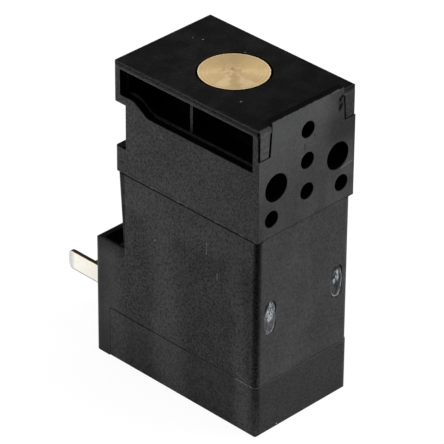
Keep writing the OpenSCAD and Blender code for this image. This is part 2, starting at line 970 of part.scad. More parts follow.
// Height of the spring's wire as a share of its travel: closed turns at both ends
function spring_share(turn) =
  let (closed = spring_closed_pitch / (spring_top - spring_z - spring_wire))
    turn < 1 ? turn * closed
    : turn > spring_turns - 1 ? 1 - (spring_turns - turn) * closed
    : closed + (turn - 1) / (spring_turns - 2) * (1 - 2 * closed);

module return_spring() {
  mean_r = spring_r - spring_wire / 2;
  rings = spring_turns * spring_steps;
  points = [
    for (i = [0 : rings], k = [0 : spring_sides - 1])
      let (
        turn = i / spring_steps,
        r = mean_r + spring_wire / 2 * cos(k * 360 / spring_sides),
        z = spring_z + spring_wire / 2 + (spring_top - spring_z - spring_wire) * spring_share(turn)
          + spring_wire / 2 * sin(k * 360 / spring_sides)
      )
        [r * cos(turn * 360), r * sin(turn * 360), z]
  ];
  sides = [
    for (i = [0 : rings - 1], k = [0 : spring_sides - 1])
      let (next = (k + 1) % spring_sides)
        [i * spring_sides + k, i * spring_sides + next,
         (i + 1) * spring_sides + next, (i + 1) * spring_sides + k]
  ];
  start = [for (k = [spring_sides - 1 : -1 : 0]) k];
  end = [for (k = [0 : spring_sides - 1]) rings * spring_sides + k];
  color("#b4b7bb")
    polyhedron(points = points, faces = concat([start], sides, [end]), convexity = 10);
}

valve_body();
top_cover();
seat_plug();
plug_o_rings();
coil_casing();
base_cap();
plug_insert();
left_terminal_blade();
right_terminal_blade();
earth_blade();
coil_leads();
bobbin();
winding();
winding_tape();
yoke();
pole_plate();
guide_tube();
tube_nut();
tube_o_ring();
fixed_core();
core_clip();
plunger();
poppet();
upper_seal();
lower_seal();
return_spring();
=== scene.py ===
import json
import math

import bpy
from mathutils import Matrix, Vector, noise


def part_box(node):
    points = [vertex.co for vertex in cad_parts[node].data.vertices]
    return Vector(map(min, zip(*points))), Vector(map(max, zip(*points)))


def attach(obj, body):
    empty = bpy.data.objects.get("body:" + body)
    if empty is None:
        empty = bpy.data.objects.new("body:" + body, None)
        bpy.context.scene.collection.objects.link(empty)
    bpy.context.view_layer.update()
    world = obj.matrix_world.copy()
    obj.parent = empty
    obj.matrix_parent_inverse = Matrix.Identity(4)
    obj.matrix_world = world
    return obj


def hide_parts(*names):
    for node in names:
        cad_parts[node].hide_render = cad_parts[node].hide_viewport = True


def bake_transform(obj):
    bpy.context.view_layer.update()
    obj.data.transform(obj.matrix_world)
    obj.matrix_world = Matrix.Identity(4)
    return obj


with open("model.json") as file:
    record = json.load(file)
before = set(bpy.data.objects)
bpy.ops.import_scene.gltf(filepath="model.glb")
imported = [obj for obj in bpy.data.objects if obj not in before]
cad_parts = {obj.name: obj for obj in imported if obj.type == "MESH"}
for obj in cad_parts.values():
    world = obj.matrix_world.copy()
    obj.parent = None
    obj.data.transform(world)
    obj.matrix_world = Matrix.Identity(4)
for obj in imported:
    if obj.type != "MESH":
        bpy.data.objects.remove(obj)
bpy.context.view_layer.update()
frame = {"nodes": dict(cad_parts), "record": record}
nodes = frame["nodes"]

MM = 0.001
BODY = "valve"


def box_mm(node):
    """Lowest and highest corner of a CAD node, in millimetres."""
    low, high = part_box(node)
    return low / MM, high / MM


# Levels and places that the frame gives, in millimetres
HEAD_LOW, HEAD_HIGH = box_mm("valve_body")
COIL_LOW, COIL_HIGH = box_mm("coil_casing")
CAP_LOW, CAP_HIGH = box_mm("base_cap")
COVER_LOW, COVER_HIGH = box_mm("top_cover")
BLADE_LOW, BLADE_HIGH = box_mm("left_terminal_blade")
EARTH_LOW, EARTH_HIGH = box_mm("earth_blade")
PLUG_HIGH = box_mm("seat_plug")[1]
PORT_FACE_Y = HEAD_LOW.y
HEAD_SIDE_X = HEAD_HIGH.x
HEAD_Z = HEAD_LOW.z
CREST_Z = HEAD_HIGH.z
COIL_FRONT_Y = COIL_LOW.y
COIL_SIDE_X = COIL_HIGH.x
CAP_FRONT_Y = CAP_LOW.y
CAP_BACK_Y = CAP_HIGH.y
CAP_SIDE_X = CAP_HIGH.x
COVER_TOP_Z = COVER_HIGH.z
FINGER_Z = COVER_LOW.z
PLUG_R = PLUG_HIGH.x
PLUG_TOP_Z = PLUG_HIGH.z
BLADE_FOOT_Z = BLADE_LOW.z
BLADE_TIP_Y = BLADE_HIGH.y

# Levels and places inside the boxes of the nodes, in millimetres
COVER_Z = 38.65
FINGER_X = 7.28
FINGER_H = 2.6
LEDGE_X = 6.5
LEDGE_END_Y = (9.6, 9.7)
LEDGE_END_Z = (35.75, 37.6)
RAMP_Y = (5.0, 9.5)
INSIDE_X = 7.4
INSIDE_Y = (-11.05, 10.06)
INSIDE_Z = (25.7, 39.0)
PLUG_HOLE_R = 4.3
CAP_Z = 6.6
CONN_Y = 9.6
CONN_TOP_Z = 15.3
BLADE_TOP_Z = 8.5
GATE_X = 5.275
GATE_Z = 15.1
GATE_W = 1.8
GATE_H = 4.2
GATE_FLOOR_Y = -10.8


# Shader nodes
def add_node(tree, kind, **settings):
    made = tree.nodes.new(kind)
    for key, value in settings.items():
        setattr(made, key, value)
    return made


def ramp(tree, source, low, high, start, end):
    """A value that runs smoothly from start to end while the source runs from low to high."""
    made = add_node(tree, "ShaderNodeMapRange", interpolation_type="SMOOTHSTEP")
    limits = {"From Min": low, "From Max": high, "To Min": start, "To Max": end}
    for socket, limit in limits.items():
        made.inputs[socket].default_value = limit
    tree.links.new(source, made.inputs["Value"])
    return made.outputs["Result"]


def shade(colour, factor):
    return tuple(channel * factor for channel in colour)


def grey(level):
    return (level, level, level)


# Sockets of the Mix node when it mixes colours
MIX_FACTOR = 0
MIX_FIRST = 6
MIX_SECOND = 7
MIX_RESULT = 2


class Finish:
    """A material whose patterns are laid out in millimetres of the part's own frame."""

    def __init__(self, name, colour, rough, metal=0.0, specular=0.5):
        self.material = bpy.data.materials.new(name)
        self.material.use_nodes = True
        self.tree = self.material.node_tree
        self.shader = self.tree.nodes["Principled BSDF"]
        self.colour = (*colour, 1.0)
        self.specular = specular
        self.level = specular
        self.normal = None
        self.relief = None
        self.value("Base Color", self.colour)
        self.value("Roughness", rough)
        self.value("Metallic", metal)
        self.value("Specular IOR Level", specular)
        place = self.node("ShaderNodeTexCoord").outputs["Object"]
        self.mm = self.stretch(place, (1 / MM, 1 / MM, 1 / MM))
        split = self.node("ShaderNodeSeparateXYZ")
        self.link(self.mm, split.inputs[0])
        self.x, self.y, self.z = split.outputs

    def node(self, kind, **settings):
        return add_node(self.tree, kind, **settings)

    def link(self, source, target):
        self.tree.links.new(source, target)

    def put(self, value, target):
        """Sets a socket to a number, or links it to another socket."""
        if isinstance(value, (int, float)):
            target.default_value = value
        else:
            self.link(value, target)

    def value(self, socket, value):
        self.shader.inputs[socket].default_value = value

    def stretch(self, vector, scale):
        made = self.node("ShaderNodeMapping")
        made.inputs["Scale"].default_value = scale
        self.link(vector, made.inputs["Vector"])
        return made.outputs["Vector"]

    def noise(self, per_mm, detail=3.0, rough=0.55, scale=None, bend=0.0):
        made = self.node("ShaderNodeTexNoise")
        made.inputs["Scale"].default_value = per_mm
        made.inputs["Detail"].default_value = detail
        made.inputs["Roughness"].default_value = rough
        made.inputs["Distortion"].default_value = bend
        self.link(self.stretch(self.mm, scale) if scale else self.mm, made.inputs["Vector"])
        return made.outputs["Fac"]

    def math(self, operation, a, b=0.0):
        made = self.node("ShaderNodeMath", operation=operation)
        for target, value in zip(made.inputs, (a, b)):
            self.put(value, target)
        return made.outputs[0]

    def plus(self, a, b):
        return self.math("ADD", a, b)

    def minus(self, a, b):
        return self.math("SUBTRACT", a, b)

    def times(self, *factors):
        product = factors[0]
        for factor in factors[1:]:
            product = self.math("MULTIPLY", product, factor)
        return product

    def most(self, *masks):
        largest = masks[0]
        for mask in masks[1:]:
            largest = self.math("MAXIMUM", largest, mask)
        return largest

    def absolute(self, a):
        return self.math("ABSOLUTE", a)

    def hypotenuse(self, a, b):
        return self.math("SQRT", self.plus(self.times(a, a), self.times(b, b)))

    def out(self):
        """Distance from the middle plane X = 0, in millimetres."""
        return self.absolute(self.x)

    def radius(self):
        """Distance from the plunger axis, in millimetres."""
        return self.hypotenuse(self.x, self.y)

    def span(self, source, low, high, start=0.0, end=1.0):
        return ramp(self.tree, source, low, high, start, end)

    def fall(self, source, low, high):
        """One below low and nothing above high."""
        return self.span(source, low, high, 1.0, 0.0)

    def window(self, source, low, high, soft):
        """One between low and high, falling to nothing over the soft width."""
        return self.times(self.span(source, low - soft, low + soft),
                          self.fall(source, high - soft, high + soft))

    def lean(self, across, up, origin, direction):
        """How far a place lies from an origin along a direction."""
        run = self.times(self.minus(across, origin[0]), direction[0])
        rise = self.times(self.minus(up, origin[1]), direction[1])
        return self.plus(run, rise)

    def reach(self, across, up, centre, size):
        """Distance from the centre of an ellipse, as a share of its size."""
        a = self.math("DIVIDE", self.minus(across, centre[0]), size[0])
        b = self.math("DIVIDE", self.minus(up, centre[1]), size[1])
        return self.hypotenuse(a, b)

    def disc(self, across, up, centre, size, soft):
        """One inside an ellipse, with a soft edge given as a share of its size."""
        return self.fall(self.reach(across, up, centre, size), 1.0 - soft, 1.0 + soft)

    def loop(self, across, up, centre, size, width):
        """One along the outline of an ellipse, with the width given as a share of its size."""
        off = self.absolute(self.minus(self.reach(across, up, centre, size), 1.0))
        return self.fall(off, 0.4 * width, width)

    def stroke(self, across, up, start, end, width):
        """One along a straight line between two places, soft at its edges."""
        length = math.dist(start, end)
        run, rise = ((b - a) / length for a, b in zip(start, end))
        along = self.lean(across, up, start, (run, rise))
        off = self.absolute(self.lean(across, up, start, (rise, -run)))
        return self.times(self.window(along, 0.0, length, width / 2),
                          self.fall(off, 0.3 * width, 0.7 * width))

    def tint(self, factor, colour):
        """Lays a colour over the base colour by a factor."""
        made = self.node("ShaderNodeMix", data_type="RGBA")
        self.link(factor, made.inputs[MIX_FACTOR])
        base = self.shader.inputs["Base Color"]
        if base.is_linked:
            self.link(base.links[0].from_socket, made.inputs[MIX_FIRST])
        else:
            made.inputs[MIX_FIRST].default_value = self.colour
        made.inputs[MIX_SECOND].default_value = (*colour, 1.0)
        self.link(made.outputs[MIX_RESULT], base)

    def vary(self, socket, source, low, high, start, end):
        self.link(self.span(source, low, high, start, end), self.shader.inputs[socket])

    def sparkle(self, grain, low, high, swing):
        """Lets the specular level swing by a share from grain to grain."""
        self.level = self.span(grain, low, high, self.specular * (1 - swing), self.specular * (1 + swing))

    def gloss(self, *cuts):
        """Sets the specular level, cut down to a share wherever a mask is one."""
        level = self.level
        for mask, share in cuts:
            level = self.times(level, self.span(mask, 0.0, 1.0, 1.0, share))
        self.put(level, self.shader.inputs["Specular IOR Level"])

    def smooth(self, mask, share):
        """Takes away a share of the grain where a mask is one."""
        even = self.minus(self.specular, self.level)
        self.level = self.plus(self.level, self.times(mask, share, even))
        self.link(self.span(mask, 0.0, 1.0, 1.0, 1.0 - share), self.relief)

    def soften(self, radius_mm):
        """Rounds the look of sharp edges."""
        made = self.node("ShaderNodeBevel", samples=6)
        made.inputs["Radius"].default_value = radius_mm * MM
        self.normal = made.outputs["Normal"]
        self.link(self.normal, self.shader.inputs["Normal"])

    def bump(self, height, depth_mm):
        """Adds relief on top of the softened edges, if there are any."""
        made = self.node("ShaderNodeBump")
        self.relief = made.inputs["Strength"]
        self.relief.default_value = 1.0
        made.inputs["Distance"].default_value = depth_mm * MM
        self.link(height, made.inputs["Height"])
        if self.normal:
            self.link(self.normal, made.inputs["Normal"])
        self.normal = made.outputs["Normal"]
        self.link(self.normal, self.shader.inputs["Normal"])


# Moulded plastics: specular levels, and clouds and grains to the millimetre
PLASTIC_SPECULAR = 0.31
COVER_SPECULAR = 0.16
CLOUDS_PER_MM = 0.28
GRAINS_PER_MM = 3.7


def moulded(name, colour, rough, grain_mm, edge_mm, swing):
    """Grained plastic, whose specular level swings by a share from grain to grain."""
    made = Finish(name, colour, rough, specular=PLASTIC_SPECULAR)
    cloud = made.noise(CLOUDS_PER_MM, detail=4.0, rough=0.6)
    grain = made.noise(GRAINS_PER_MM, detail=3.0, rough=0.7)
    made.sparkle(grain, 0.28, 0.72, swing)
    made.tint(made.span(cloud, 0.35, 0.75), shade(colour, 1.5))
    made.tint(made.span(grain, 0.62, 0.8), shade(colour, 2.6))
    made.vary("Roughness", cloud, 0.3, 0.7, start=rough - 0.05, end=rough + 0.07)
    made.soften(edge_mm)
    made.bump(grain, grain_mm)
    return made


def front_and_side(made, front_y, side_x):
    """Masks of the front and of both sides of a block."""
    front = made.fall(made.y, front_y + 0.03, front_y + 0.15)
    side = made.span(made.out(), side_x - 0.15, side_x - 0.03)
    return front, side


# Marks on the port face, as places and sizes in X and Z, with the nicks beside the right finger drawn as
# dark lines of painted shadow, and the pits as dots of painted shade
NICKS = (((5.5, 38.84), (5.1, 38.74)), ((5.1, 38.74), (4.9, 38.3)), ((5.28, 37.92), (4.8, 37.18)))
NICK_W = 0.34
SMEAR = ((5.15, 38.0), (0.5, 1.0))
ROUND_PIT = ((1.06, 35.7), (0.1, 0.1))
LONG_PIT = ((-0.44, 34.83), (0.06, 0.45))
SCRATCH = ((5.3, 29.72), (7.2, 30.03))
SCRATCH_W = 0.12

# Where painted shade darkens the port face to the right and painted light pales it towards the upper left,
# in X and Z
LEE_X = (1.8, 4.6)
LEE_FOOT_Z = (31.5, 34.6)
LEE_TOP_Z = (35.6, 37.4)
PALE_SLOPE = 0.45
PALE_Z = (29.0, 40.0)

# Where the head's sides darken towards the back, and where they carry pale dots
SIDE_DARK_Y = (-4.0, 6.0)
DOTS_Y = (2.0, 5.2)
DOTS_Z = (32.0, 33.6)


def head_plastic():
    made = moulded("head_plastic", (0.006, 0.006, 0.0062),
                   rough=0.5, grain_mm=0.012, edge_mm=0.04, swing=0.85)
    x, y, z = made.x, made.y, made.z
    out = made.out()
    face = made.fall(y, PORT_FACE_Y + 0.02, PORT_FACE_Y + 0.06)
    side = made.span(out, HEAD_SIDE_X - 0.06, HEAD_SIDE_X - 0.02)
    made.smooth(face, share=0.62)

    ledge = made.fall(made.absolute(made.minus(out, LEDGE_X)), 0.01, 0.03)
    ramp_lip = made.times(made.window(out, LEDGE_X - 0.14, LEDGE_X, soft=0.03),
                          made.window(y, *RAMP_Y, soft=0.1))
    lit = made.most(ledge, made.times(ramp_lip, 0.7))
    # Painted shade inside the pocket, with the ledge lines left lit
    inside = made.times(made.fall(out, INSIDE_X - 0.05, INSIDE_X), made.window(y, *INSIDE_Y, soft=0.02),
                        made.window(z, *INSIDE_Z, soft=0.03), made.minus(1.0, lit))
    # Painted shade in the narrow gap beside the fingers, at the head's corners
    flank = made.span(z, FINGER_Z, FINGER_Z + FINGER_H, FINGER_X + 0.02, HEAD_SIDE_X + 0.02)
    corner = made.times(made.span(made.minus(flank, out), -0.02, 0.02),
                        made.span(out, FINGER_X - 0.08, FINGER_X - 0.04),
                        made.fall(out, HEAD_SIDE_X - 0.04, HEAD_SIDE_X - 0.01),
                        made.span(z, FINGER_Z - 0.2, FINGER_Z),
                        made.window(y, PORT_FACE_Y + 0.17, PORT_FACE_Y + 0.3, soft=0.01))
    land = made.span(z, CREST_Z - 0.06, CREST_Z - 0.01)
    # Painted shade on the right of the port face
    lee_shade = made.times(face, made.span(x, *LEE_X), made.span(z, *LEE_FOOT_Z),
                     made.span(z, *LEE_TOP_Z, start=1.0, end=0.55))
    # Painted shade along the seam at the head's lower edge
    seam_shadow = made.times(face, made.fall(z, HEAD_Z + 0.08, HEAD_Z + 0.22))
    # The nicks are dark lines of painted shadow where a curled sliver stands off the face
    nicks = made.times(face, made.most(*(made.stroke(x, z, *nick, NICK_W) for nick in NICKS)))
    smear = made.times(face, made.disc(x, z, *SMEAR, soft=0.5))
    # The pits are dots of painted shade
    pit_shade = made.times(face, made.most(made.disc(x, z, *ROUND_PIT, soft=0.3),
                                      made.disc(x, z, *LONG_PIT, soft=0.4)))
    made.gloss((inside, 0.15), (corner, 0.35), (land, 0.07), (lee_shade, 0.6), (seam_shadow, 0.5), (nicks, 0.03),
               (smear, 0.6), (pit_shade, 0.1))

    made.tint(inside, (0.0008, 0.0008, 0.0009))
    made.tint(corner, grey(0.003))
    # Painted highlight along the end of the ledge
    ledge_end_highlight = made.times(ledge, made.span(y, *LEDGE_END_Y), made.window(z, *LEDGE_END_Z, soft=0.1))
    made.tint(ledge_end_highlight, (0.12, 0.12, 0.118))
    made.tint(land, (0.0025, 0.0025, 0.0026))
    made.tint(made.times(side, made.span(y, *SIDE_DARK_Y, start=1.0, end=0.5)), grey(0.0225))
    made.tint(made.times(side, made.span(made.noise(4.0, detail=3.0, rough=0.7), 0.5, 0.7)), grey(0.05))
    streaks = made.noise(0.5, detail=4.0, rough=0.6, scale=(1.0, 1.0, 0.25))
    made.tint(made.times(face, made.span(streaks, 0.3, 0.8)), (0.017, 0.018, 0.0175))
    # Painted light, paler towards the upper left of the port face
    upper_left = made.minus(z, made.times(x, PALE_SLOPE))
    made.tint(made.times(face, made.span(upper_left, *PALE_Z, start=0.0, end=0.8)), (0.038, 0.0397, 0.0388))
    for mark in (lee_shade, seam_shadow, smear):
        made.tint(mark, (0.004, 0.004, 0.0041))
    for mark in (nicks, pit_shade):
        made.tint(mark, grey(0.001))
    # Pale burrs and a painted highlight along the crest's top front edge
    burr_and_highlight = made.times(made.fall(y, PORT_FACE_Y + 0.1, PORT_FACE_Y + 0.16),
                      made.span(z, CREST_Z - 0.2, CREST_Z - 0.1),
                      made.span(made.noise(1.6, detail=4.0, rough=0.7), 0.4, 0.6))
    made.tint(burr_and_highlight, (0.046, 0.046, 0.045))
    made.tint(made.times(face, made.stroke(x, z, *SCRATCH, SCRATCH_W)), grey(0.09))
    lip = made.times(side, made.fall(z, HEAD_Z + 0.1, HEAD_Z + 0.17),
                     made.span(made.noise(1.4, detail=3.0, rough=0.7), 0.57, 0.63))
    made.tint(lip, (0.16, 0.16, 0.158))
    dots = made.times(side, made.window(y, *DOTS_Y, soft=0.6), made.window(z, *DOTS_Z, soft=0.4))
    made.tint(made.times(dots, made.span(made.noise(2.6, detail=2.0), 0.6, 0.68)), grey(0.06))
    return made


# The cover's top dims towards the front; its right finger's front is darkened with painted shade, and its
# inner flank lightened with painted light
COVER_DIM_Y = (0.0, -8.0)
FINGER_DARK_X = (5.0, 5.5)
FINGER_FLANK_X = (5.7, 6.05)


def cover_plastic():
    made = Finish("cover_plastic", (0.004, 0.004, 0.0042), rough=0.42, specular=PLASTIC_SPECULAR)
    x, y, z = made.x, made.y, made.z
    cloud = made.noise(0.4, detail=4.0, rough=0.6)
    grain = made.noise(5.0, detail=3.0, rough=0.6)
    made.tint(made.span(cloud, 0.4, 0.75), (0.006, 0.006, 0.0063))
    made.tint(made.span(made.noise(2.2, detail=2.0), 0.72, 0.8), (0.014, 0.014, 0.0145))
    made.sparkle(grain, 0.3, 0.7, swing=0.6)
    flat = made.span(z, COVER_TOP_Z - 0.04, COVER_TOP_Z - 0.005)
    near = made.times(flat, made.span(y, *COVER_DIM_Y))
    edge = made.window(z, COVER_Z + 0.32, COVER_TOP_Z - 0.1, soft=0.08)
    # Painted shade, tinted brass-brown, in the gap round the plug
    hole_shade = made.fall(made.radius(), PLUG_HOLE_R + 0.02, PLUG_HOLE_R + 0.06)
    finger = made.fall(y, PORT_FACE_Y + 0.08, PORT_FACE_Y + 0.14)
    # Painted shade on the right finger's front and on the brow above it
    brow = made.times(made.span(y, PORT_FACE_Y + 0.5, PORT_FACE_Y + 0.4),
                      made.span(z, COVER_Z + 0.3, COVER_Z + 0.5))
    dark = made.times(made.most(finger, brow), made.span(x, *FINGER_DARK_X))
    # Painted light on the right finger's inner flank, which the narrow gap keeps in shade
    flank = made.times(made.window(y, PORT_FACE_Y + 0.07, PORT_FACE_Y + 0.5, soft=0.01),
                       made.window(x, *FINGER_FLANK_X, soft=0.02),
                       made.fall(z, COVER_Z - 0.15, COVER_Z - 0.05))
    made.gloss((flat, COVER_SPECULAR / PLASTIC_SPECULAR), (near, 0.4), (edge, 0.4), (hole_shade, 0.3),
               (dark, 0.55))
    made.tint(hole_shade, (0.02, 0.011, 0.003))
    made.tint(finger, (0.0255, 0.0265, 0.026))
    made.tint(dark, (0.003, 0.003, 0.0031))
    made.tint(flank, grey(0.09))
    # Painted highlight along the cover's lower edge, broken up by noise
    highlight_breakup = made.noise(1.2, detail=4.0, rough=0.7)
    rim = made.times(made.window(z, COVER_Z, COVER_Z + 0.12, soft=0.05),
                     made.span(highlight_breakup, 0.35, 0.65, start=0.3, end=1.0))
    made.tint(rim, grey(0.045))
    made.vary("Roughness", cloud, 0.3, 0.7, start=0.38, end=0.48)
    made.soften(radius_mm=0.06)
    made.bump(grain, depth_mm=0.01)
    return made


# Pale bands that the melt left on the sides: edges in Y, soft width, lean with the height and share
FLOW_BANDS = ((-9.3, -7.3, 0.8, 0.08, 0.9), (1.4, 5.2, 1.6, 0.1, 1.0), (10.6, 12.8, 1.2, 0.1, 0.5))
FLOW_Z = 11.5
FLOW_WANDER = 0.7
FLOW_TOP_Y = (0.0, 4.5)
FLOW_TOP_Z = (19.5, 23.0)


def flow_bands(made, side):
    wander = made.span(made.noise(0.25, detail=3.0, rough=0.6), 0.2, 0.8, -FLOW_WANDER, FLOW_WANDER)
    place = made.plus(made.y, wander)
    height = made.minus(made.z, FLOW_Z)
    pale = made.times(made.span(made.z, *FLOW_TOP_Z), made.span(made.y, *FLOW_TOP_Y, start=0.75, end=1.2))
    for low, high, soft, lean, share in FLOW_BANDS:
        across = made.minus(place, made.times(height, lean))
        pale = made.most(pale, made.times(made.window(across, low, high, soft), share))
    speckle = made.span(made.noise(3.6, detail=4.0, rough=0.7), 0.35, 0.65, start=0.2, end=1.7)
    made.tint(made.times(side, pale, speckle), (0.036, 0.036, 0.0355))


# Where the coil's grain turns calm towards the connector, where painted light pales its front, and where
# its front turns dim
CALM_Y = (10.0, 11.5)
FRONT_LIGHT_X = (4.0, -3.0)
FRONT_DIM_Z = (16.0, 9.0)


def casing_plastic():
    made = moulded("casing_plastic", (0.0055, 0.0055, 0.0057),
                   rough=0.52, grain_mm=0.012, edge_mm=0.1, swing=0.88)
    x, y, z = made.x, made.y, made.z
    front, side = front_and_side(made, COIL_FRONT_Y, COIL_SIDE_X)
    calm = made.most(made.times(front, 0.45), made.span(y, *CALM_Y, start=0.0, end=0.75))
    made.smooth(calm, share=1.0)
    patches = made.span(made.noise(0.5, detail=3.0, rough=0.7), 0.44, 0.58)
    shadow = made.times(side, made.span(z, HEAD_Z - 0.36, HEAD_Z - 0.2), patches)
    # Less gloss along the front seam under the head, standing for its shade
    seam_shadow = made.times(front, made.span(z, HEAD_Z - 0.15, HEAD_Z - 0.05))
    block = made.times(made.span(y, CONN_Y, CONN_Y + 0.8), made.span(z, CONN_TOP_Z - 2.2, CONN_TOP_Z - 0.4))
    rim = made.times(made.span(y, CONN_Y, CONN_Y + 0.1), made.span(z, CONN_TOP_Z - 0.08, CONN_TOP_Z - 0.03))
    dim = made.times(front, made.span(z, *FRONT_DIM_Z))
    made.gloss((seam_shadow, 0.5), (block, 0.6), (rim, 0.2), (shadow, 0.3), (dim, 0.9))
    # Painted light on the coil's front, paler towards the left
    made.tint(made.times(front, made.span(x, *FRONT_LIGHT_X)), (0.015, 0.015, 0.0151))
    # Painted highlight on the walls of the gate recesses, in torn-looking patches
    lit_scar_wall = made.times(made.window(y, COIL_FRONT_Y + 0.04, GATE_FLOOR_Y - 0.02, soft=0.01),
                           made.window(made.out(), GATE_X - GATE_W / 2, GATE_X + GATE_W / 2, soft=0.03),
                           made.window(z, GATE_Z - GATE_H / 2, GATE_Z + GATE_H / 2, soft=0.03))
    torn = made.span(made.noise(2.4, detail=3.0, rough=0.7), 0.45, 0.55)
    made.tint(made.times(lit_scar_wall, torn), (0.3, 0.3, 0.31))
    made.tint(side, (0.008, 0.008, 0.0081))
    flow_bands(made, side)
    made.tint(shadow, grey(0.0015))
    # Painted light in the joint behind the cap, over the shade of the gap
    joint_light = made.times(made.window(y, CAP_BACK_Y, CAP_BACK_Y + 0.1, soft=0.03),
                       made.span(z, CAP_Z, CAP_Z - 0.1))
    made.tint(joint_light, grey(0.06))
    return made


# Where the cap's front dims to the right, and where painted light shows its upper edge as a pale line
CAP_DIM_X = (1.0, 7.0)
CAP_LINE_Y = (3.0, -6.0)


def cap_plastic():
    made = moulded("cap_plastic", (0.005, 0.005, 0.0052),
                   rough=0.5, grain_mm=0.010, edge_mm=0.08, swing=0.6)
    front, side = front_and_side(made, CAP_FRONT_Y, CAP_SIDE_X)
    made.gloss((front, 0.66), (made.times(front, made.span(made.x, *CAP_DIM_X)), 0.78))
    flow_bands(made, side)
    # Painted light on the cap's upper edge, stronger towards the front, over the shade of the seam
    ledge = made.times(made.span(made.z, CAP_Z - 0.1, CAP_Z - 0.06), made.span(made.y, *CAP_LINE_Y))
    made.tint(ledge, grey(0.05))
    # Painted light along the cap's back edge, in the joint with the connector
    made.tint(made.span(made.y, CAP_BACK_Y - 0.12, CAP_BACK_Y - 0.03), grey(0.05))
    return made


def bobbin_plastic():
    colour = (0.74, 0.7, 0.6)
    made = Finish("bobbin_plastic", colour, rough=0.45)
    made.tint(made.span(made.noise(0.6, detail=3.0), 0.35, 0.7), shade(colour, 0.88))
    made.soften(radius_mm=0.06)
    return made


def winding_tape():
    made = Finish("winding_tape", (0.62, 0.46, 0.06), rough=0.25)
    made.tint(made.span(made.noise(0.8, detail=3.0, scale=(1, 1, 0.2)), 0.4, 0.7), (0.5, 0.35, 0.04))
    made.bump(made.noise(3.0, detail=2.0, scale=(1, 1, 0.3)), depth_mm=0.01)
    return made


def seal_rubber():
    made = Finish("seal_rubber", grey(0.02), rough=0.6)
    made.tint(made.span(made.noise(3.0, detail=3.0), 0.45, 0.75), (0.035, 0.035, 0.034))
    made.bump(made.noise(9.0, detail=2.0), depth_mm=0.004)
    return made


# Turned brass: the direction and number of the painted sheen beams, the lathe lines to the millimetre, how
# far the beams wander, and one small pip
SHEEN_TURN = math.radians(-135)
SHEEN_BEAMS = 6.0
TOOL_LINES_PER_MM = 4.5
SHEEN_WANDER = 0.35
PIP = ((0.3, 0.62), (0.15, 0.15))


def turned_brass():
    made = Finish("turned_brass", (0.76, 0.56, 0.305), rough=0.58, metal=1.0)
    radius = made.radius()
    rings = made.node("ShaderNodeTexNoise", noise_dimensions="1D")
    rings.inputs["Scale"].default_value = TOOL_LINES_PER_MM
    rings.inputs["Detail"].default_value = 4.0
    made.link(radius, rings.inputs["W"])
    lines = rings.outputs["Fac"]
    cloud = made.noise(0.45, detail=3.0, rough=0.6)
    made.tint(made.span(lines, 0.38, 0.68, start=0.0, end=0.8), (0.85, 0.66, 0.375))
    made.tint(made.span(cloud, 0.45, 0.75), (0.72, 0.52, 0.255))

    # Painted sheen: beams round the axis, lighter and darker by turns, strongest on the near side, and
    # painted shade on the far side
    wander = made.span(made.noise(0.35, detail=3.0), 0.2, 0.8, -SHEEN_WANDER, SHEEN_WANDER)
    turn = made.plus(made.minus(made.math("ARCTAN2", made.y, made.x), SHEEN_TURN), wander)
    sheen_beam = made.math("COSINE", made.times(turn, SHEEN_BEAMS))
    near = made.math("COSINE", turn)
    fade = made.times(made.span(radius, 0.2, 1.0),
                      made.span(radius, PLUG_R - 0.9, PLUG_R, start=1.0, end=0.4),
                      made.span(near, -0.1, 0.8, start=0.25, end=1.0))
    far = made.times(made.span(near, -0.3, -1.0, start=0.0, end=0.4), made.span(radius, 0.5, 2.5))
    made.tint(made.times(made.span(sheen_beam, 0.2, 1.0, start=0.0, end=0.2), fade), (0.62, 0.45, 0.22))
    made.tint(made.times(made.span(sheen_beam, -0.1, -0.9, start=0.0, end=0.75), fade), (0.95, 0.76, 0.47))
    made.tint(far, (0.6, 0.42, 0.2))

    # Painted highlight round the plug's rim
    made.tint(made.window(radius, PLUG_R - 0.12, PLUG_R + 0.2, soft=0.04), (0.9, 0.75, 0.52))
    stain = made.span(made.noise(1.5, detail=3.0, rough=0.65), 0.5, 0.66)
    made.tint(made.times(stain, made.span(radius, 0.8, 2.2, start=0.7, end=0.0)), (0.5, 0.34, 0.15))
    made.tint(made.times(made.disc(made.x, made.y, *PIP, soft=0.5), 0.6), (0.3, 0.17, 0.06))
    # Painted shade on the plug's side, below its top
    made.tint(made.fall(made.z, PLUG_TOP_Z - 0.05, PLUG_TOP_Z - 0.02), (0.1, 0.055, 0.015))
    made.value("Anisotropic", 0.12)
    tangent = made.node("ShaderNodeTangent", direction_type="RADIAL", axis="Z")
    made.link(tangent.outputs["Tangent"], made.shader.inputs["Tangent"])
    made.bump(lines, depth_mm=0.01)
    return made


def brass_insert():
    made = Finish("insert_brass", (0.66, 0.46, 0.18), rough=0.32, metal=1.0)
    made.tint(made.span(made.noise(1.5, detail=3.0), 0.4, 0.7), (0.5, 0.33, 0.11))
    made.soften(radius_mm=0.05)
    return made


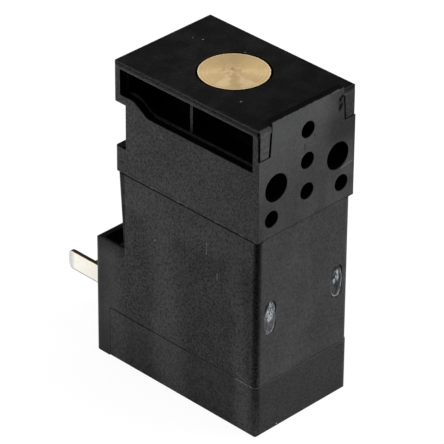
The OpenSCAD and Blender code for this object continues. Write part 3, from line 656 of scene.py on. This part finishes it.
def tinned_blade():
    made = Finish("tinned_blade", (0.95, 0.90, 0.80), rough=0.36, metal=1.0)
    y, z = made.y, made.z
    made.tint(made.span(made.noise(0.5, detail=4.0, scale=(1, 0.25, 1)), 0.35, 0.7), (0.98, 0.95, 0.88))
    made.tint(made.span(made.noise(2.0, detail=3.0), 0.6, 0.75), (0.74, 0.66, 0.52))
    made.tint(made.span(y, BLADE_TIP_Y - 1.2, BLADE_TIP_Y - 0.4), (0.62, 0.62, 0.61))
    # The sheared top edge is bare brass, darkened further as a painted dark reflection
    made.tint(made.span(z, BLADE_TOP_Z - 0.08, BLADE_TOP_Z - 0.02), (0.2, 0.14, 0.07))
    # Painted shade along the blade's lower edge
    made.tint(made.window(z, BLADE_FOOT_Z - 0.2, BLADE_FOOT_Z + 0.14, soft=0.03), (0.42, 0.42, 0.43))
    earth = made.times(made.window(z, EARTH_LOW.z - 0.1, EARTH_HIGH.z + 0.1, soft=0.02),
                       made.fall(made.out(), EARTH_HIGH.x + 0.3, EARTH_HIGH.x + 0.6))
    made.tint(earth, (0.46, 0.44, 0.39))
    made.soften(radius_mm=0.08)
    return made


def copper_wire():
    made = Finish("copper_wire", (0.56, 0.22, 0.09), rough=0.3, metal=1.0)
    wave = made.node("ShaderNodeTexWave", bands_direction="Z", wave_profile="SIN")
    wave.inputs["Scale"].default_value = 1.6
    made.link(made.mm, wave.inputs["Vector"])
    turns = wave.outputs["Fac"]
    made.tint(made.span(turns, 0.2, 0.9), (0.66, 0.29, 0.12))
    made.bump(turns, depth_mm=0.05)
    return made


def steel(name, colour, rough, grain):
    made = Finish(name, colour, rough, metal=1.0)
    lines = made.noise(2.5, detail=3.0, rough=0.6, scale=grain)
    made.tint(made.span(lines, 0.35, 0.7), shade(colour, 1.2))
    made.vary("Roughness", lines, 0.3, 0.7, start=rough - 0.06, end=rough + 0.08)
    made.soften(radius_mm=0.06)
    return made


FINISHES = {
    "head_plastic": head_plastic(),
    "cover_plastic": cover_plastic(),
    "casing_plastic": casing_plastic(),
    "cap_plastic": cap_plastic(),
    "turned_brass": turned_brass(),
    "insert_brass": brass_insert(),
    "tinned_blade": tinned_blade(),
    "copper_wire": copper_wire(),
    "bobbin_plastic": bobbin_plastic(),
    "winding_tape": winding_tape(),
    "magnet_steel": steel("magnet_steel", (0.42, 0.43, 0.45), rough=0.38, grain=(1, 1, 0.2)),
    "tube_steel": steel("tube_steel", (0.55, 0.56, 0.58), rough=0.3, grain=(0.3, 0.3, 3)),
    "spring_steel": steel("spring_steel", (0.5, 0.51, 0.53), rough=0.28, grain=(1, 1, 1)),
    "seal_rubber": seal_rubber(),
}

for part in frame["record"]["subparts"]:
    mesh = nodes[part["node"]].data
    mesh.materials.clear()
    mesh.materials.append(FINISHES[part["material_slot"]].material)


# Pieces built here
def piece(name, points, faces, finish, smooth=True, fixed=True):
    """Mesh from points in millimetres, which rides on the valve's fixed body unless it moves."""
    mesh = bpy.data.meshes.new(name)
    mesh.from_pydata([Vector(p) * MM for p in points], [], faces)
    for polygon in mesh.polygons:
        polygon.use_smooth = smooth
    mesh.validate()
    made = bpy.data.objects.new(name, mesh)
    bpy.context.scene.collection.objects.link(made)
    mesh.materials.append(finish.material)
    if fixed:
        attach(made, BODY)
    return made


# Gate scars: mesh steps across and along, how far they fill their recess, and the heights of the surface
SCAR_STEPS = (14, 34)
SCAR_FILL = 0.985
SCAR_END = 0.995
SCAR_ROUNDNESS = 2.4
SCAR_LIFT = 0.12
SCAR_LIFT_LIMITS = (0.02, 0.19)
SCAR_TILT = (0.06, -0.04)
CRINKLE_HEIGHT = 0.05
COARSE_PER_MM = (1.7, 1.1)
FINE_PER_MM = (4.3, 2.9)

# Directions in X and Z of a scar's lower rim, which gets a painted highlight, and of the painted shadow of
# its upper edge
LIT_RIM_LEAN = (0.8, -0.35)
SHADOW_LEAN = (-0.9, 0.45)

# Pale lobes and dark bruises of the scars: places and sizes in X and Z
LEFT_LOBES = (((-5.4, 16.6), (0.45, 0.5)), ((-5.65, 16.0), (0.4, 0.55)),
              ((-5.1, 15.7), (0.4, 0.45)), ((-5.25, 15.1), (0.4, 0.5)))
RIGHT_LOBES = (((5.48, 15.75), (0.24, 0.62)), ((5.05, 15.15), (0.17, 0.34)))
RIGHT_BRUISES = (((5.4, 15.1), (0.8, 0.95)), ((5.6, 16.7), (0.5, 0.3)))


def torn_plastic(name, side, tone, lobes, bruises):
    """Stress-whitened plastic of one gate scar, with a painted highlight on its lower rim and a painted
    shadow under its upper edge.
    """
    made = Finish(name, (tone, 0.96 * tone, 1.08 * tone), rough=0.4, specular=PLASTIC_SPECULAR)
    x, z = made.x, made.z
    centre = (side * GATE_X, GATE_Z)
    streaks = made.noise(3.4, detail=4.0, rough=0.65, scale=(1.0, 1.0, 0.6), bend=0.9)
    shreds = made.noise(4.6, detail=3.0, rough=0.7, scale=(1.0, 1.0, 0.45), bend=1.4)
    upper = made.span(z, GATE_Z - 0.9, GATE_Z + 0.1)
    made.tint(made.times(made.span(streaks, 0.42, 0.6), upper), (0.1, 0.115, 0.13))
    dark = [made.disc(x, z, *bruise, soft=0.4) for bruise in bruises]
    made.gloss(*((bruise, 0.35) for bruise in dark))
    for bruise in dark:
        made.tint(made.times(bruise, 0.9), (0.009, 0.012, 0.017))
    for lobe in lobes:
        pale = made.times(made.disc(x, z, *lobe, soft=0.45), made.span(streaks, 0.36, 0.5))
        made.tint(pale, (0.4, 0.435, 0.47))
    torn = made.times(made.span(shreds, 0.5, 0.58), made.span(z, GATE_Z - 0.6, GATE_Z))
    made.tint(torn, (0.006, 0.007, 0.009))
    # Painted highlight along the scar's lower rim
    rim = made.times(made.loop(x, z, centre, (GATE_W / 2 - 0.07, GATE_H / 2 - 0.1), width=0.1),
                     made.span(made.lean(x, z, centre, LIT_RIM_LEAN), -0.1, 0.25),
                     made.span(shreds, 0.62, 0.46))
    made.tint(rim, (0.2, 0.21, 0.225))
    made.tint(made.span(made.lean(x, z, centre, SHADOW_LEAN), 0.68, 0.82), grey(0.0006))
    made.bump(streaks, depth_mm=0.06)
    return made


def crinkle(x, z, seed):
    """Uneven height of torn plastic, coarse and fine."""
    coarse = noise.noise(Vector((COARSE_PER_MM[0] * x + seed, seed, COARSE_PER_MM[1] * z)))
    fine = noise.noise(Vector((FINE_PER_MM[0] * x, seed, FINE_PER_MM[1] * z)))
    return coarse + 0.5 * fine


def gate_scar(name, side, seed, tone, lobes, bruises=()):
    """Crinkled surface left where the runner was torn off, seated in its oval recess."""
    across, along = SCAR_STEPS
    lowest, highest = SCAR_LIFT_LIMITS
    points, faces = [], []
    for j in range(along + 1):
        v = SCAR_END * (2 * j / along - 1)
        z = GATE_Z + v * GATE_H / 2 * SCAR_FILL
        half = GATE_W / 2 * SCAR_FILL * math.sqrt(1 - abs(v) ** SCAR_ROUNDNESS)
        for i in range(across + 1):
            u = 2 * i / across - 1
            x = side * GATE_X + half * u
            lift = SCAR_LIFT + SCAR_TILT[0] * u + SCAR_TILT[1] * v + CRINKLE_HEIGHT * crinkle(x, z, seed)
            points.append((x, GATE_FLOOR_Y - max(lowest, min(highest, lift)), z))
    row = across + 1
    for j in range(along):
        for i in range(across):
            a = j * row + i
            faces.append((a, a + 1, a + row + 1, a + row))
    finish = torn_plastic(name, side, tone, lobes, bruises)
    return piece(name, points, faces, finish, smooth=False)


# M3 thread of the insert
THREAD_CREST_R = 1.25
THREAD_DEPTH = 0.24
THREAD_PITCH = 0.5
THREAD_STEPS = (48, 64)


def threaded_insert():
    """Brass insert with the M3 thread that the plain CAD bore stands for."""
    low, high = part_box("plug_insert")
    y0, y1 = low.y / MM, high.y / MM
    centre = (low.z + high.z) / 2 / MM
    outer = (high.x - low.x) / 2 / MM
    around, along = THREAD_STEPS
    points, faces = [], []

    def ring(y, radius):
        start = len(points)
        for i in range(around):
            turn = 2 * math.pi * i / around
            r = radius(y, i / around)
            points.append((r * math.cos(turn), y, centre + r * math.sin(turn)))
        return start

    def thread(y, share):
        phase = ((y - y0) / THREAD_PITCH - share) % 1.0
        return THREAD_CREST_R + THREAD_DEPTH * (1 - abs(2 * phase - 1))

    def plain(y, share):
        return outer

    starts = [ring(y0 + (y1 - y0) * j / along, thread) for j in range(along + 1)]
    starts += [ring(y1, plain), ring(y0, plain)]
    for a, b in zip(starts, starts[1:] + starts[:1]):
        for i in range(around):
            k = (i + 1) % around
            faces.append((a + i, a + k, b + k, b + i))
    made = piece("threaded_insert", points, faces, FINISHES["insert_brass"], smooth=False)
    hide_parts("plug_insert")
    return made


# Wire of the spring, its turns with the closed one at each end, and mesh steps round the wire and in a turn
WIRE_D = 0.36
SPRING_TURNS = 8
CLOSED_PITCH = 0.414
SPRING_STEPS = (12, 32)


def wound_spring():
    """Round-wire return spring with a closed turn at each end."""
    low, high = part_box("return_spring")
    z0, z1 = low.z / MM, high.z / MM
    wire_r = WIRE_D / 2
    mean_r = high.x / MM - wire_r
    around, steps = SPRING_STEPS
    open_turns = SPRING_TURNS - 2
    open_pitch = (z1 - z0 - WIRE_D - 2 * CLOSED_PITCH) / open_turns
    points, faces = [], []
    for i in range(SPRING_TURNS * steps + 1):
        turn = i / steps
        closed = min(turn, 1.0) + max(turn - open_turns - 1.0, 0.0)
        rise = CLOSED_PITCH * closed + open_pitch * (turn - closed)
        angle = 2 * math.pi * turn
        for k in range(around):
            tilt = 2 * math.pi * k / around
            r = mean_r + wire_r * math.cos(tilt)
            z = z0 + wire_r + rise + wire_r * math.sin(tilt)
            points.append((r * math.cos(angle), r * math.sin(angle), z))
    for i in range(SPRING_TURNS * steps):
        for k in range(around):
            a, b = i * around + k, i * around + (k + 1) % around
            faces.append((a, a + around, b + around, b))
    last = SPRING_TURNS * steps * around
    faces += [tuple(range(around)), tuple(last + k for k in reversed(range(around)))]
    made = piece("wound_spring", points, faces, FINISHES["spring_steel"], fixed=False)
    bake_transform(made)
    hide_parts("return_spring")
    return made


def flakes(name, places, finish):
    """Small raised scuffs and specks: centre, two half edges and a lift off the surface."""
    points, faces = [], []
    for centre, edge_a, edge_b, lift in places:
        c, a, b, n = Vector(centre), Vector(edge_a), Vector(edge_b), Vector(lift)
        if a.cross(b).dot(n) < 0:
            a, b = b, a
        start = len(points)
        points += [c - a - b, c + a - b, c + a + b, c - a + b, c + n]
        for i in range(4):
            faces.append((start + i, start + (i + 1) % 4, start + 4))
    return piece(name, points, faces, finish, smooth=False)


def pale_scuff(name, tone):
    made = Finish(name, (tone, tone, 0.97 * tone), rough=0.6)
    made.tint(made.span(made.noise(6.0, detail=2.0), 0.4, 0.7), (1.5 * tone, 1.5 * tone, 1.45 * tone))
    return made


gate_scar("left_gate_scar", side=-1, seed=3.1, tone=0.05, lobes=LEFT_LOBES)
gate_scar("right_gate_scar", side=1, seed=8.4, tone=0.012, lobes=RIGHT_LOBES, bruises=RIGHT_BRUISES)
threaded_insert()
wound_spring()

SCUFF = pale_scuff("pale_scuff", tone=0.3)
SPECK = pale_scuff("dull_speck", tone=0.05)

# Half width of the thin scuffs and height of all flakes
THIN = 0.035
flakes("side_scuffs", [
    ((-COIL_SIDE_X, -3.22, 21.4), (0, THIN, 0), (0, 0, 0.78), (-THIN, 0, 0)),
    ((-COIL_SIDE_X, -4.88, 18.5), (0, THIN, 0), (0, 0, 0.45), (-THIN, 0, 0)),
    ((-COIL_SIDE_X, 4.87, 18.92), (0, 0.07, 0), (0, 0, 0.07), (-THIN, 0, 0)),
], SCUFF)
flakes("cap_scuffs", [
    ((-4.0, CAP_FRONT_Y, 0.42), (0.08, 0, 0), (0, 0, 0.08), (0, -THIN, 0)),
    ((-COIL_SIDE_X - 0.03, -9.1, CAP_Z - 0.06), (0.03, 0, 0), (0, 1.3, 0), (0, 0, THIN)),
], SCUFF)
flakes("cover_specks", [
    ((2.16, 8.54, COVER_TOP_Z), (0.08, 0.03, 0), (-0.03, 0.08, 0), (0, 0, THIN)),
    ((2.63, 7.44, COVER_TOP_Z), (0.12, -0.05, 0), (0.03, 0.07, 0), (0, 0, THIN)),
    ((-4.18, -5.16, COVER_TOP_Z), (0.1, 0.06, 0), (-0.05, 0.1, 0), (0, 0, THIN)),
    ((3.84, 2.12, COVER_TOP_Z), (0.08, 0.04, 0), (-0.04, 0.08, 0), (0, 0, THIN)),
], SPECK)


# Camera, fitted to the edges of the photographed part, with lengths in millimetres and angles in degrees
VIEW_CENTRE = Vector((0.0, 0.842, 20.0))
VIEW_AZIMUTH = 45.423
VIEW_ELEVATION = 31.748
VIEW_ROLL = 0.48
VIEW_SHIFT = (-0.587, -0.115)
VIEW_DISTANCE = 396.888
LENS_MM = 288.86
CLIP_M = (0.01, 20.0)


def add_camera():
    azimuth, elevation, roll = (math.radians(a) for a in (VIEW_AZIMUTH, VIEW_ELEVATION, VIEW_ROLL))
    back = Vector((-math.sin(azimuth) * math.cos(elevation), -math.cos(azimuth) * math.cos(elevation),
                   math.sin(elevation)))
    level = Vector((math.cos(azimuth), -math.sin(azimuth), 0.0))
    rise = back.cross(level)
    right = level * math.cos(roll) + rise * math.sin(roll)
    top = rise * math.cos(roll) - level * math.sin(roll)
    eye = VIEW_CENTRE + right * VIEW_SHIFT[0] + top * VIEW_SHIFT[1] + back * VIEW_DISTANCE
    data = bpy.data.cameras.new("camera")
    data.lens = LENS_MM
    data.clip_start, data.clip_end = CLIP_M
    made = bpy.data.objects.new("camera", data)
    made.matrix_world = Matrix.Translation(eye * MM) @ Matrix((right, top, back)).transposed().to_4x4()
    bpy.context.scene.collection.objects.link(made)
    bpy.context.scene.camera = made


# Softboxes: name, direction, size in metres, power, and whether shiny surfaces mirror them
LAMPS = (
    ("top_softbox", (0.1, -0.1, 1.0), (0.5, 0.5), 4.0, True),
    ("left_softbox", (-0.70, 0.72, 0.45), (0.5, 0.4), 1.7, True),
    ("right_softbox", (0.70, -0.72, 0.52), (1.1, 0.55), 2.4, True),
    ("right_fill", (0.70, -0.72, 0.45), (0.5, 0.4), 3.5, False),
)
LAMP_TARGET_M = Vector((0.0, 0.0, 0.02))
LAMP_DISTANCE_M = 0.6


def add_softbox(name, direction, size, power, mirrored):
    """Area lamp aimed at the part. One that isn't mirrored leaves no glare on the brass."""
    data = bpy.data.lights.new(name, "AREA")
    data.shape = "RECTANGLE"
    data.size, data.size_y = size
    data.energy = power
    made = bpy.data.objects.new(name, data)
    towards = Vector(direction).normalized()
    made.location = LAMP_TARGET_M + towards * LAMP_DISTANCE_M
    made.rotation_euler = towards.to_track_quat("Z", "Y").to_euler()
    made.visible_glossy = mirrored
    bpy.context.scene.collection.objects.link(made)


# The floor is white to the camera, and dark in reflections on the camera's side, like a black card
TOWARDS_CAMERA = (-math.sin(math.radians(VIEW_AZIMUTH)), -math.cos(math.radians(VIEW_AZIMUTH)), 0.0)
FLOOR_HALF_M = 3.0
CARD_EDGE_M = (0.0135, 0.024)
FLOOR_TONE = 0.85
CARD_TONE = 0.02
FLOOR_GLOW = 0.93
FLOOR_SHADOW = 0.07


def floor_material():
    made = bpy.data.materials.new("floor")
    made.use_nodes = True
    tree = made.node_tree
    link = tree.links.new
    tree.nodes.remove(tree.nodes["Principled BSDF"])
    place = add_node(tree, "ShaderNodeTexCoord")
    reach = add_node(tree, "ShaderNodeVectorMath", operation="DOT_PRODUCT")
    reach.inputs[1].default_value = TOWARDS_CAMERA
    lit = add_node(tree, "ShaderNodeBsdfDiffuse")
    shadow = add_node(tree, "ShaderNodeBsdfDiffuse")
    shadow.inputs["Color"].default_value = (*grey(FLOOR_SHADOW), 1.0)
    glow = add_node(tree, "ShaderNodeEmission")
    glow.inputs["Strength"].default_value = FLOOR_GLOW
    seen = add_node(tree, "ShaderNodeAddShader")
    pick = add_node(tree, "ShaderNodeMixShader")
    path = add_node(tree, "ShaderNodeLightPath")
    link(place.outputs["Object"], reach.inputs[0])
    link(ramp(tree, reach.outputs["Value"], *CARD_EDGE_M, FLOOR_TONE, CARD_TONE), lit.inputs["Color"])
    link(shadow.outputs[0], seen.inputs[0])
    link(glow.outputs[0], seen.inputs[1])
    link(path.outputs["Is Camera Ray"], pick.inputs[0])
    link(lit.outputs[0], pick.inputs[1])
    link(seen.outputs[0], pick.inputs[2])
    link(pick.outputs[0], tree.nodes["Material Output"].inputs["Surface"])
    return made


def add_floor():
    corners = [(x * FLOOR_HALF_M, y * FLOOR_HALF_M, 0) for x, y in ((-1, -1), (1, -1), (1, 1), (-1, 1))]
    mesh = bpy.data.meshes.new("floor")
    mesh.from_pydata(corners, [], [(0, 1, 2, 3)])
    mesh.materials.append(floor_material())
    made = bpy.data.objects.new("floor", mesh)
    bpy.context.scene.collection.objects.link(made)


# The world is bright at the horizon and dim overhead, with the fade given as the height of a direction
WORLD_FADE = (0.12, 0.42)
HORIZON_STRENGTH = 0.8
OVERHEAD_STRENGTH = 0.03


def add_world():
    world = bpy.data.worlds.new("studio")
    world.use_nodes = True
    bpy.context.scene.world = world
    tree = world.node_tree
    place = add_node(tree, "ShaderNodeTexCoord")
    split = add_node(tree, "ShaderNodeSeparateXYZ")
    tree.links.new(place.outputs["Generated"], split.inputs[0])
    fade = ramp(tree, split.outputs["Z"], *WORLD_FADE, HORIZON_STRENGTH, OVERHEAD_STRENGTH)
    tree.links.new(fade, tree.nodes["Background"].inputs["Strength"])


add_camera()
add_world()
add_floor()
for lamp in LAMPS:
    add_softbox(*lamp)
bpy.context.scene.view_settings.view_transform = "Standard"
